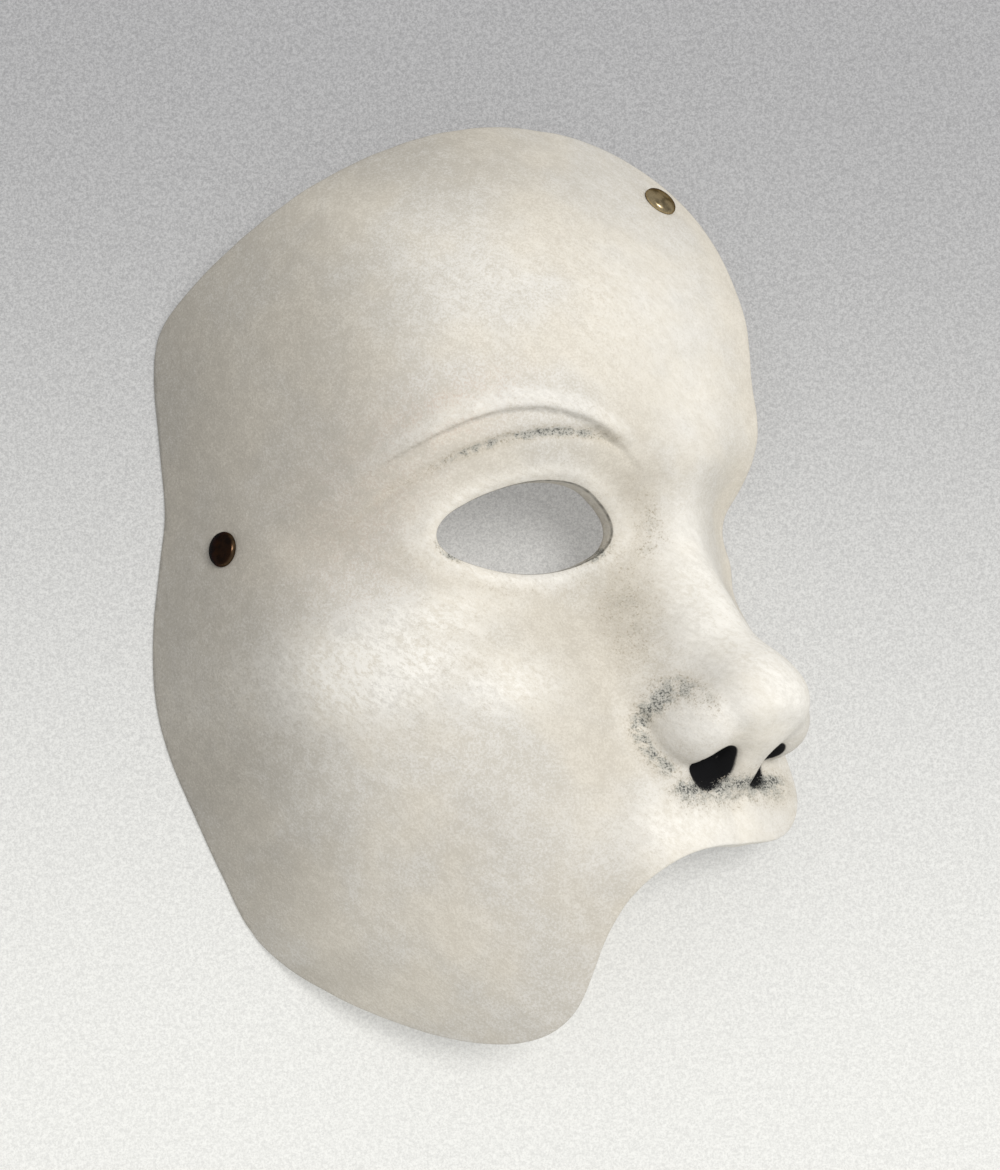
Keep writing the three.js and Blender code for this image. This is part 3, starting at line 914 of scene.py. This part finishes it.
def add_attribute(piece, name, values):
    attribute = piece.data.attributes.new(name, "FLOAT", "POINT")
    attribute.data.foreach_set("value", np.asarray(values, np.float32))


def outer_net():
    """The net of triangles on the outer skin, cut along the outline."""
    lines = (
        grid_lines(GRID_LOW[0], GRID_HIGH[0], FINE_X),
        grid_lines(GRID_LOW[1], GRID_HIGH[1], FINE_Y),
        np.arange(GRID_LOW[2], GRID_HIGH[2], (FINE_STEP + BROAD_STEP) / 2),
    )
    points, quads = net_over(skin_field, lines)
    triangles = split_quads(quads, points)
    near = (outline_field(points)[triangles] < 3 * BROAD_STEP).any(1)
    points, triangles = compact(points, triangles[near])
    points = relax(points, triangles, RELAX_ROUNDS)
    return trim_net(points, triangles)


def open_edges(triangles, count):
    """The edges that have a triangle on one side only."""
    edges = edges_of(triangles)
    forward = edges[:, 0] * count + edges[:, 1]
    backward = edges[:, 1] * count + edges[:, 0]
    return edges[~np.isin(forward, backward)]


def edge_rows(outer, inner, out):
    """Rows of points round the edge, from the outer skin's rim to the inner skin's."""
    middle = (outer + inner) / 2
    half = (outer - inner) / 2
    power = 2 / EDGE_SQUARENESS
    rows = []
    for step in range(1, EDGE_STEPS):
        angle = math.pi * step / EDGE_STEPS
        across = math.copysign(abs(math.cos(angle)) ** power, math.cos(angle))
        over = EDGE_ROUND * math.sin(angle) ** power
        rows.append(middle + half * across + out * over)
    return rows


def paint_shell(shell, points, ring):
    """Gives the shell's points the values that the leather's material reads."""
    everywhere = np.vstack([points, points] + [points[ring]] * (EDGE_STEPS - 1))
    for name, by_place in PAINT_BY_PLACE.items():
        add_attribute(shell, name, by_place(everywhere))
    skin = np.zeros(len(points))
    steps = np.arange(1, EDGE_STEPS)
    inside = np.repeat(rising(steps, 7, 2), len(ring))
    wall = np.repeat(rising(steps, 1, 3), len(ring))
    add_attribute(shell, "inside", np.concatenate([skin, skin + 1, inside]))
    add_attribute(shell, "wall", np.concatenate([skin, skin, wall]))


def build_shell():
    """Outer and inner skin, joined by a rounded edge."""
    points, triangles = outer_net()
    count = len(points)
    normal = normalised(gradient(soft_field, points))
    uneven = normal * (unevenness(points) * rising(points[:, 2], 2, 8))[:, None]
    outer = points + uneven
    inner = through_wall(points) + uneven
    rim = open_edges(triangles, count)
    ring = np.unique(rim)
    rows = edge_rows(outer[ring], inner[ring], edge_directions(points, rim)[ring])
    loops = [ring]
    for row in range(len(rows)):
        loops.append(2 * count + row * len(ring) + np.arange(len(ring)))
    loops.append(ring + count)
    place = -np.ones(count, int)
    place[ring] = np.arange(len(ring))
    starts = place[rim[:, 0]]
    ends = place[rim[:, 1]]
    faces = triangles.tolist() + (triangles[:, ::-1] + count).tolist()
    for here, there in zip(loops, loops[1:]):
        strip = np.stack([here[ends], here[starts], there[starts], there[ends]], 1)
        faces += strip.tolist()
    shell = make_mesh("painted_shell", np.vstack([outer, inner, *rows]), faces)
    paint_shell(shell, points, ring)
    return shell


def rivet_profile():
    """Radius and height along the rivet, from the middle of its inner flange to the cap's top."""
    under = -THICKNESS - RIVET_GAP
    bottom = under - FLANGE_HEIGHT
    lip = RIVET_GAP + CAP_LIP
    profile = [
        (0, bottom),
        (FLANGE_RADIUS * 0.55, bottom),
        (FLANGE_RADIUS - RIM_ROUND, bottom),
        (FLANGE_RADIUS - RIM_BEVEL, bottom + 0.2),
        (FLANGE_RADIUS, under - FLANGE_HEIGHT / 2),
        (FLANGE_RADIUS - RIM_BEVEL, under - 0.1),
        (FLANGE_RADIUS - RIM_ROUND, under),
        (SHANK_RADIUS, under),
        (SHANK_RADIUS, RIVET_GAP),
        (CAP_RADIUS - RIM_ROUND, RIVET_GAP),
        (CAP_RADIUS - 0.2, CAP_SEAT),
        (CAP_RADIUS - 0.02, CAP_SEAT + 0.12),
        (CAP_RADIUS, RIVET_GAP + CAP_LIP / 2),
        (CAP_RADIUS - 0.08, lip),
    ]
    dome_radius = CAP_RADIUS - 2 * RIM_BEVEL
    dome_rise = CAP_HEIGHT - CAP_LIP
    for step in range(1, DOME_STEPS):
        angle = math.pi / 2 * step / DOME_STEPS
        radius = dome_radius * math.cos(angle) ** DOME_POWER
        profile.append((radius, lip + dome_rise * math.sin(angle)))
    profile.append((0, RIVET_GAP + CAP_HEIGHT))
    return profile


def turned(profile, point, axis):
    """Points and faces of a profile that turns about an axis and starts and ends on it."""
    side = normalised(np.cross([axis], [[0, 1, 0]]))[0]
    across = np.cross(axis, side)
    points = [point + axis * profile[0][1]]
    for radius, height in profile[1:-1]:
        for k in range(RIVET_SIDES):
            angle = 2 * math.pi * k / RIVET_SIDES
            spoke = side * math.cos(angle) + across * math.sin(angle)
            points.append(point + axis * height + radius * spoke)
    points.append(point + axis * profile[-1][1])
    last = len(points) - 1
    rings = len(profile) - 2
    top = 1 + (rings - 1) * RIVET_SIDES
    faces = []
    for k in range(RIVET_SIDES):
        after = (k + 1) % RIVET_SIDES
        faces.append([0, 1 + after, 1 + k])
        for ring in range(rings - 1):
            low = 1 + ring * RIVET_SIDES
            high = low + RIVET_SIDES
            faces.append([low + k, low + after, high + after, high + k])
        faces.append([top + k, top + after, last])
    return np.array(points), faces


def build_rivet(name):
    """Domed cap with a small rolled lip, shank and flat inner flange, worn at the cap's rim; the
    forehead rivet is light brass all over, a painted sheen.
    """
    profile = rivet_profile()
    rivet = make_mesh(name + "_cap", *turned(profile, *SEATS[name]))
    radii = np.repeat([radius for radius, _ in profile[1:-1]], RIVET_SIDES)
    wear_and_sheen = EDGE_WEAR * rising(radii, CAP_RADIUS - EDGE_WEAR_WIDTH, EDGE_WEAR_WIDTH)
    wear_and_sheen = np.concatenate([[0], wear_and_sheen, [0]])
    # Painted sheen: the forehead rivet is made light brass all over
    if name == "forehead_rivet":
        wear_and_sheen = np.maximum(wear_and_sheen, FOREHEAD_RIVET_SHEEN)
    add_attribute(rivet, "wear_and_sheen", wear_and_sheen)
    return rivet


# Materials

# Sockets of a Mix node that blends colours: its two colours and its result
MIX_COLOURS = (6, 7)
MIX_RESULT = 2


class Nodes:
    """Short ways to add and join shader nodes."""

    def __init__(self, name):
        self.material = bpy.data.materials.new(name)
        self.material.use_nodes = True
        self.tree = self.material.node_tree
        self.shader = self.tree.nodes["Principled BSDF"]
        self.place = self.add("ShaderNodeTexCoord").outputs["Object"]

    def add(self, kind, **values):
        node = self.tree.nodes.new(kind)
        for key, value in values.items():
            setattr(node, key, value)
        return node

    def join(self, source, target):
        if isinstance(source, (int, float)):
            target.default_value = source
        elif isinstance(source, tuple):
            target.default_value = (*source, 1)
        else:
            self.tree.links.new(source, target)

    def set_input(self, name, source):
        self.join(source, self.shader.inputs[name])

    def attribute(self, name):
        return self.add("ShaderNodeAttribute", attribute_name=name).outputs["Fac"]

    def noise(self, size_mm, detail=3.0, rough=0.5, stretch=(1, 1, 1), turn=0.0, shift=0.0):
        mapping = self.add("ShaderNodeMapping", vector_type="TEXTURE")
        mapping.inputs["Scale"].default_value = [s * size_mm * MM for s in stretch]
        mapping.inputs["Rotation"].default_value = (0, 0, math.radians(turn))
        mapping.inputs["Location"].default_value = (shift * MM, 2 * shift * MM, 3 * shift * MM)
        self.join(self.place, mapping.inputs["Vector"])
        node = self.add("ShaderNodeTexNoise")
        node.inputs["Scale"].default_value = 1
        node.inputs["Detail"].default_value = detail
        node.inputs["Roughness"].default_value = rough
        self.join(mapping.outputs["Vector"], node.inputs["Vector"])
        return node.outputs["Fac"]

    def math(self, operation, *values, clamp=False):
        node = self.add("ShaderNodeMath", operation=operation, use_clamp=clamp)
        for value, target in zip(values, node.inputs):
            self.join(value, target)
        return node.outputs[0]

    def times(self, first, second, clamp=False):
        return self.math("MULTIPLY", first, second, clamp=clamp)

    def remap(self, value, low, high, to_low=0.0, to_high=1.0):
        node = self.add("ShaderNodeMapRange", interpolation_type="SMOOTHSTEP")
        self.join(value, node.inputs["Value"])
        self.join(low, node.inputs["From Min"])
        self.join(high, node.inputs["From Max"])
        node.inputs["To Min"].default_value = to_low
        node.inputs["To Max"].default_value = to_high
        return node.outputs["Result"]

    def mix(self, factor, first, second, blend="MIX"):
        node = self.add("ShaderNodeMix", data_type="RGBA", blend_type=blend)
        self.join(factor, node.inputs["Factor"])
        for source, socket in zip((first, second), MIX_COLOURS):
            self.join(source, node.inputs[socket])
        return node.outputs[MIX_RESULT]

    def bump(self, height, distance_mm, strength, normal=None):
        node = self.add("ShaderNodeBump")
        node.inputs["Distance"].default_value = distance_mm * MM
        node.inputs["Strength"].default_value = strength
        self.join(height, node.inputs["Height"])
        if normal is not None:
            self.join(normal, node.inputs["Normal"])
        return node.outputs["Normal"]


def linear(*seen):
    """A colour as it is seen on a screen, 0 to 255, as the shader needs it."""
    shares = [value / 255 for value in seen]
    return tuple(s / 12.92 if s <= 0.04045 else ((s + 0.055) / 1.055) ** 2.4 for s in shares)


# Colours, in pairs where a texture goes from one to the other
UNDERCOAT = (linear(215, 208, 194), linear(209, 204, 193))
WHITE = (linear(230, 224, 211), linear(228, 225, 218))
DAUB_AND_PAINTED_HIGHLIGHT = linear(252, 249, 241)
WARM_TINGE = linear(222, 198, 182)
PAINTED_SHADE = linear(158, 153, 143)
STROKES = linear(188, 182, 168)
PATINA_DUST = (linear(196, 187, 170), linear(166, 165, 156))
PATINA_FAINT = (linear(162, 151, 131), linear(122, 122, 114))
PATINA_DARK = linear(40, 44, 47)
BROW_SHADE = linear(150, 147, 138)
EYE_RIM = linear(84, 82, 74)
LINING = (linear(196, 182, 158), linear(176, 160, 134))
LINING_GRAIN = linear(140, 124, 100)
# Black of the painted shade in the nostrils and on the inside round them
NOSTRIL_BLACK = linear(5, 6, 10)
LACQUER = (linear(28, 17, 10), linear(46, 28, 15))
BARE_BRASS_AND_SHEEN = (linear(96, 56, 26), linear(186, 168, 132))
BRASS_TINT = (0.25, 0.18, 0.12)
FLOOR_BRIGHT = linear(239, 239, 235)
FLOOR_GREY = linear(175, 175, 176)


def leather_textures(nodes):
    """Noise from broad clouds to fine grit, some of it stretched along the brush strokes."""
    return {
        "clouds": nodes.noise(24, 3, 0.55),
        "mottle": nodes.noise(3.2, 4, 0.8, shift=3),
        "grain": nodes.noise(0.5, 3, 0.85, shift=7),
        "daub": nodes.noise(1.2, 5, 0.9, stretch=(1.6, 1, 1), turn=-35, shift=9),
        "strokes": nodes.noise(1.6, 3, 0.6, stretch=(5, 1, 1), turn=-38, shift=13),
        "clumps": nodes.noise(2.2, 4, 0.7, shift=17),
        "grit": nodes.noise(0.44, 3, 0.75, shift=11),
        "creases": nodes.noise(0.95, 2, 0.6, stretch=(2.4, 1, 1), turn=-35, shift=19),
    }


def white_paint(nodes, texture):
    """Beige undercoat, with white daubed over it and a painted highlight where the face stands out,
    and painted shade at the side of the head and in the recesses.
    """
    white_and_highlight = nodes.attribute("white_and_highlight")
    painted_shade = nodes.attribute("painted_shade")
    coarseness = nodes.attribute("grain")
    mottle = texture["mottle"]
    paint = nodes.mix(nodes.remap(texture["clouds"], 0.35, 0.65), *UNDERCOAT)
    tinge = nodes.times(nodes.attribute("blush"), nodes.remap(mottle, 0.4, 0.6, 0.1, 0.7))
    paint = nodes.mix(tinge, paint, WARM_TINGE)

    speckle = nodes.math("MULTIPLY_ADD", texture["grain"], 0.75, nodes.times(mottle, 0.4))
    speckle = nodes.math("SUBTRACT", speckle, 0.575)
    cover = nodes.math("MULTIPLY_ADD", white_and_highlight, 0.14, 0.5)
    cover = nodes.math("MULTIPLY_ADD", painted_shade, -0.04, cover)
    cover = nodes.math("MULTIPLY_ADD", speckle, coarseness, cover)
    top = nodes.mix(nodes.remap(texture["clouds"], 0.4, 0.6), *WHITE)
    paint = nodes.mix(nodes.remap(cover, 0.42, 0.6, 0, 0.95), paint, top)

    # Whitest daubs: real white paint with a painted highlight on what stands out
    daub = nodes.remap(texture["daub"], 0.38, 0.62, -0.5, 0.5)
    daub = nodes.math("MULTIPLY_ADD", daub, coarseness, 0.58)
    paint = nodes.mix(nodes.times(white_and_highlight, daub), paint, DAUB_AND_PAINTED_HIGHLIGHT)

    shade = nodes.math("SUBTRACT", texture["grain"], 0.5)
    shade = nodes.math("MULTIPLY_ADD", shade, -0.8, nodes.remap(mottle, 0.35, 0.65, 0.76, 0.66))
    # Painted shade: greyer towards the rim at the side of the head and in the recesses
    paint = nodes.mix(nodes.times(painted_shade, shade), paint, PAINTED_SHADE)
    return nodes.mix(nodes.remap(texture["strokes"], 0.35, 0.65, 0, 0.12), paint, STROKES)


def with_patina(nodes, texture, paint):
    """Blue-black wash that thins out to a pale haze and single dots."""
    grit = texture["grit"]
    amount = nodes.remap(texture["clumps"], 0.36, 0.6, 0.6, 1.3)
    wash = nodes.times(nodes.attribute("patina"), amount)
    dust = nodes.mix(nodes.remap(wash, 0.3, 0.75), *PATINA_DUST)
    haze = nodes.remap(grit, 0.4, 0.6, 0.6, 1.0)
    haze = nodes.times(nodes.remap(wash, 0.0, 0.95), haze, clamp=True)
    paint = nodes.mix(haze, paint, dust)
    start = nodes.math("MULTIPLY_ADD", wash, -0.12, 0.59)
    dots = nodes.remap(grit, start, nodes.math("ADD", start, 0.12))
    dots = nodes.times(dots, nodes.remap(wash, 0.05, 0.5, 0, 0.9))
    ink = nodes.mix(nodes.remap(wash, 0.45, 0.8), *PATINA_FAINT)
    ink = nodes.mix(nodes.remap(wash, 0.62, 1.02), ink, PATINA_DARK)
    return nodes.mix(dots, paint, ink)


def with_dark_edges(nodes, texture, paint):
    """A soft line of painted shade under the brow, and a dark line on the cut wall of the eye
    opening.
    """
    clumps = texture["clumps"]
    # Painted shade under the brow's ledge
    line = nodes.remap(nodes.attribute("brow_line"), 0.1, 0.7, 1, 0)
    line = nodes.times(line, nodes.remap(clumps, 0.4, 0.6, 0.05, 0.3))
    paint = nodes.mix(line, paint, BROW_SHADE)
    wall = nodes.attribute("wall")
    rim = nodes.times(nodes.remap(wall, 0.05, 0.3), nodes.remap(wall, 0.7, 1.0, 1, 0.2))
    rim = nodes.times(rim, nodes.remap(nodes.attribute("eye_edge"), 0.8, 1.0, 1, 0))
    rim = nodes.times(rim, nodes.remap(clumps, 0.35, 0.65, 0.45, 0.85))
    return nodes.mix(rim, paint, EYE_RIM)


def bare_lining(nodes, texture):
    lining = nodes.mix(nodes.remap(texture["mottle"], 0.4, 0.6), *LINING)
    return nodes.mix(nodes.remap(texture["grain"], 0.45, 0.65, 0, 0.4), lining, LINING_GRAIN)


def nostril_painted_shade(nodes, texture):
    """How black the painted shade is: in the nostrils, with ragged edges, and on the inside round
    them.
    """
    pit = nodes.attribute("pit")
    ragged = nodes.remap(nodes.attribute("patina"), 0.2, 0.8, 0.1, 4)
    ragged = nodes.times(nodes.math("SUBTRACT", texture["grit"], 0.5), ragged)
    outside = nodes.remap(nodes.math("ADD", ragged, pit), 0.45, 0.8, 1, 0)
    # Painted shade inside round the nostrils, so that no lit lining shows through them
    shaded_inside = nodes.times(nodes.attribute("inside"), nodes.remap(pit, *NOSTRIL_SHADE_REACH, 1, 0))
    return nodes.math("MAXIMUM", outside, shaded_inside)


def painted_leather():
    nodes = Nodes("painted_leather")
    texture = leather_textures(nodes)
    paint = white_paint(nodes, texture)
    paint = with_patina(nodes, texture, paint)
    paint = with_dark_edges(nodes, texture, paint)
    colour = nodes.mix(nodes.attribute("inside"), paint, bare_lining(nodes, texture))
    # Painted shade: black in the nostrils and on the inside round them
    black = nostril_painted_shade(nodes, texture)
    nodes.set_input("Base Color", nodes.mix(black, colour, NOSTRIL_BLACK))
    roughness = nodes.remap(texture["mottle"], 0.35, 0.65, 0.68, 0.84)
    roughness = nodes.math("MULTIPLY_ADD", nodes.attribute("white_and_highlight"), -0.16, roughness)
    nodes.set_input("Roughness", nodes.math("MAXIMUM", roughness, black))
    normal = nodes.bump(texture["mottle"], 0.14, 0.5)
    normal = nodes.bump(texture["creases"], 0.16, 0.5, normal)
    normal = nodes.bump(texture["grain"], 0.11, 0.6, normal)
    nodes.set_input("Normal", normal)
    return nodes.material


def antique_brass():
    """Near-black brown lacquer over brass, rubbed through where it is worn, and light brass all
    over on the forehead rivet as painted sheen.
    """
    nodes = Nodes("antique_brass")
    tarnish = nodes.noise(1.8, 3, 0.55)
    fine = nodes.noise(0.4, 2, 0.5, shift=4)
    wear_and_sheen = nodes.attribute("wear_and_sheen")
    colour = nodes.mix(nodes.remap(tarnish, 0.35, 0.65), *LACQUER)
    bare_and_sheen = nodes.times(wear_and_sheen, nodes.remap(tarnish, 0.3, 0.6, 0.45, 1))
    colour = nodes.mix(bare_and_sheen, colour, nodes.mix(wear_and_sheen, *BARE_BRASS_AND_SHEEN))
    nodes.set_input("Base Color", colour)
    nodes.set_input("Metallic", 1.0)
    nodes.set_input("Specular Tint", BRASS_TINT)
    nodes.set_input("Coat Weight", 0.12)
    nodes.set_input("Coat Roughness", 0.12)
    nodes.set_input("Roughness", nodes.remap(fine, 0.3, 0.7, 0.24, 0.34))
    nodes.set_input("Normal", nodes.bump(fine, 0.01, 0.3))
    return nodes.material


def dress(piece, node, material):
    piece.data.materials.append(material)
    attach(piece, "root")
    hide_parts(node)


# Stage, lights and camera


def floor_material():
    """Pale card with a fine speckle, greyer towards the top of the picture, that glows a little."""
    nodes = Nodes("studio_floor")
    place = nodes.add("ShaderNodeSeparateXYZ")
    nodes.join(nodes.place, place.inputs[0])
    up = nodes.math("MULTIPLY_ADD", place.outputs["X"], FLOOR_SLANT, place.outputs["Y"])
    grey = nodes.remap(up, FLOOR_BRIGHT_AT, FLOOR_GREY_AT)
    colour = nodes.mix(grey, FLOOR_BRIGHT, FLOOR_GREY)
    fine = nodes.noise(0.38, 2, 0.8, shift=5)
    grain = nodes.times(nodes.noise(1.0, 4, 0.85), 0.5)
    grain = nodes.math("MULTIPLY_ADD", fine, 0.6, grain)
    speckle = nodes.mix(nodes.remap(grain, 0.42, 0.68), (0.8, 0.8, 0.805), (1.2, 1.2, 1.195))
    strength = nodes.math("MULTIPLY_ADD", grey, 0.45, 0.55)
    colour = nodes.mix(strength, colour, speckle, "MULTIPLY")
    nodes.set_input("Emission Color", colour)
    nodes.set_input("Emission Strength", FLOOR_GLOW)
    nodes.set_input("Base Color", nodes.mix(FLOOR_GLOW, colour, (0.0, 0.0, 0.0)))
    nodes.set_input("Roughness", 0.9)
    nodes.set_input("Specular IOR Level", 0.1)
    return nodes.material


def make_stage():
    bpy.ops.mesh.primitive_plane_add(size=FLOOR_SIDE)
    floor = bpy.context.object
    floor.name = "studio_floor"
    floor.data.materials.append(floor_material())


def make_lights():
    world = bpy.data.worlds.new("studio")
    world.use_nodes = True
    background = world.node_tree.nodes["Background"]
    background.inputs["Color"].default_value = (*SKY_COLOUR, 1)
    background.inputs["Strength"].default_value = SKY_STRENGTH
    bpy.context.scene.world = world
    light = bpy.data.lights.new("key", "AREA")
    light.shape = "DISK"
    light.size = LAMP_SIZE
    light.energy = LAMP_POWER
    light.color = LAMP_COLOUR
    lamp = bpy.data.objects.new("key", light)
    towards = Vector(LAMP_DIRECTION).normalized()
    lamp.location = towards * LAMP_DISTANCE
    lamp.rotation_euler = towards.to_track_quat("Z", "Y").to_euler()
    bpy.context.scene.collection.objects.link(lamp)


def make_camera():
    yaw = math.radians(CAMERA_YAW)
    pitch = math.radians(CAMERA_PITCH)
    level = math.cos(pitch)
    back = np.array([-math.sin(yaw) * level, math.sin(pitch), math.cos(yaw) * level])
    back = Vector(back @ TURN)
    up = Vector((0, 1, 0))
    right = up.cross(back).normalized()
    turn = Matrix((right, back.cross(right), back)).transposed()
    turn = turn @ Matrix.Rotation(math.radians(CAMERA_ROLL), 3, "Z")
    camera = bpy.data.cameras.new("camera")
    camera.lens = CAMERA_LENS
    camera.dof.use_dof = False
    holder = bpy.data.objects.new("camera", camera)
    place = Matrix.Translation(Vector(CAMERA_AIM) + back * CAMERA_DISTANCE)
    holder.matrix_world = place @ turn.to_4x4()
    bpy.context.scene.collection.objects.link(holder)
    bpy.context.scene.camera = holder


make_camera()
make_stage()
make_lights()
bpy.context.scene.view_settings.view_transform = "Standard"
dress(build_shell(), "mask_shell", painted_leather())
brass = antique_brass()
for node_name in SEATS:
    dress(build_rivet(node_name), node_name, brass)

bpy.context.view_layer.update()
